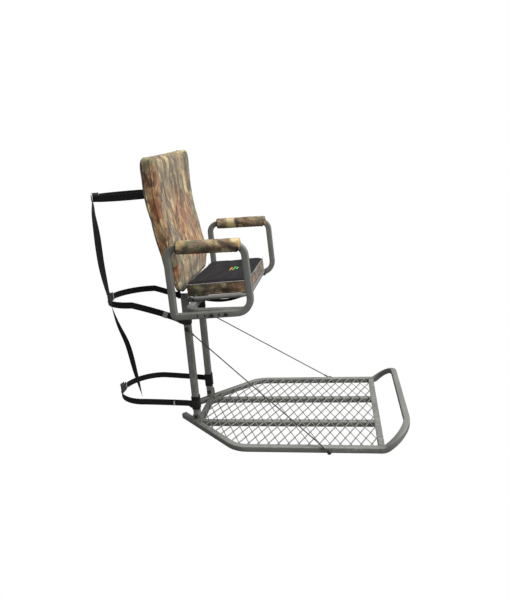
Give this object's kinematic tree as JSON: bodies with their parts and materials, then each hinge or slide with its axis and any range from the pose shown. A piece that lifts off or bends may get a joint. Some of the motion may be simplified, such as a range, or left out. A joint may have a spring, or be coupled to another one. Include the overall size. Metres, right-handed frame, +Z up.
{
  "type": "hang-on tree stand",
  "caption": "Hang-on hunting tree stand: folding expanded-metal platform with foot-rest, two posts, flip-up padded seat, padded arm loops, backrest, cables and straps.",
  "frame": {"origin": "at deck level on the plane of symmetry, in the plane of the two posts' rear faces", "axes": "+X forward, away from the tree; +Y to the sitter's left; +Z up"},
  "size_m": [1.156, 0.675, 1.063],
  "materials": {
    "frame_steel": "grey-green powder coat, fine texture, satin",
    "deck_steel": "powder-coated expanded steel, satin",
    "bolt_steel": "black zinc hexagon hardware",
    "buckle_steel": "black coated pressed steel",
    "end_caps": "moulded black plastic",
    "webbing": "woven black polyester webbing",
    "labels": "plain grey sewn patch",
    "camo_fabric": "bark and leaf camouflage print",
    "camo_pads": "camouflage cloth over foam",
    "seat_fabric": "black mesh top, camouflage boxing, light piping",
    "cable": "grey vinyl over stranded steel cable",
    "cable_fittings": "crimped ferrules"
  },
  "bodies": {
    "stand": {"post_right": "frame_steel", "post_left": "frame_steel", "seat_support": "frame_steel", "support_bracket_right": "frame_steel", "support_bracket_left": "frame_steel", "arm_loop_right": "frame_steel", "arm_loop_left": "frame_steel", "seat_ear_right": "frame_steel", "seat_ear_left": "frame_steel", "arm_bolt_rear_right": "bolt_steel", "arm_bolt_front_right": "bolt_steel", "arm_bolt_rear_left": "bolt_steel", "arm_bolt_front_left": "bolt_steel", "cable_bolt_post_right": "bolt_steel", "cable_bolt_post_left": "bolt_steel", "upper_buckle": "buckle_steel", "middle_buckle": "buckle_steel", "lower_buckle": "buckle_steel", "support_cap_right": "end_caps", "support_cap_left": "end_caps", "upper_strap": "webbing", "middle_strap_right": "webbing", "middle_strap_left": "webbing", "lower_strap_right": "webbing", "lower_strap_left": "webbing", "strap_tail": "webbing", "backrest_tie": "webbing", "middle_strap_label": "labels", "lower_strap_label": "labels", "backrest": "camo_fabric", "arm_pad_right": "camo_pads", "arm_pad_left": "camo_pads", "cable_right": "cable", "cable_left": "cable", "cable_eye_top_right": "cable_fittings", "cable_eye_top_left": "cable_fittings"},
    "platform": {"platform_rail_right": "frame_steel", "platform_rail_left": "frame_steel", "rail_tip_cap_right": "end_caps", "rail_tip_cap_left": "end_caps", "inner_tube": "frame_steel", "platform_crossbar": "frame_steel", "foot_rest": "frame_steel", "deck_mesh": "deck_steel", "hinge_ear_right": "frame_steel", "hinge_ear_left": "frame_steel", "hinge_bolt_right": "bolt_steel", "hinge_bolt_left": "bolt_steel", "cable_bolt_rail_right": "bolt_steel", "cable_bolt_rail_left": "bolt_steel", "cable_eye_rail_right": "cable_fittings", "cable_eye_rail_left": "cable_fittings"},
    "seat": {"seat_frame": "frame_steel", "seat_bolt_right": "bolt_steel", "seat_bolt_left": "bolt_steel", "seat_cushion": "seat_fabric", "seat_sling": "webbing"},
    "upper_cam": {"upper_lever": "buckle_steel"},
    "middle_cam": {"middle_lever": "buckle_steel"},
    "lower_cam": {"lower_lever": "buckle_steel"}
  },
  "joints": [
    {"name": "platform_fold", "type": "hinge", "parent": "stand", "child": "platform", "pos_m": [0.0127, 0, 0.025], "axis": [0, -1, 0], "range_deg": [0, 58], "deforming": ["cable_right", "cable_left"]},
    {"name": "seat_flip", "type": "hinge", "parent": "stand", "child": "seat", "pos_m": [0.073, 0, 0.5225], "axis": [0, -1, 0], "range_deg": [0, 42], "deforming": ["backrest", "backrest_tie"]},
    {"name": "upper_cam_open", "type": "hinge", "parent": "stand", "child": "upper_cam", "pos_m": [-0.337, 0, 0.886], "axis": [0, 0, 1], "range_deg": [0, 70], "stiffness_Nm_per_rad": 0.2},
    {"name": "middle_cam_open", "type": "hinge", "parent": "stand", "child": "middle_cam", "pos_m": [-0.337, 0, 0.487], "axis": [0, 0, 1], "range_deg": [0, 70], "stiffness_Nm_per_rad": 0.2},
    {"name": "lower_cam_open", "type": "hinge", "parent": "stand", "child": "lower_cam", "pos_m": [-0.337, 0, 0.092], "axis": [0, 0, 1], "range_deg": [0, 70], "stiffness_Nm_per_rad": 0.2}
  ]
}
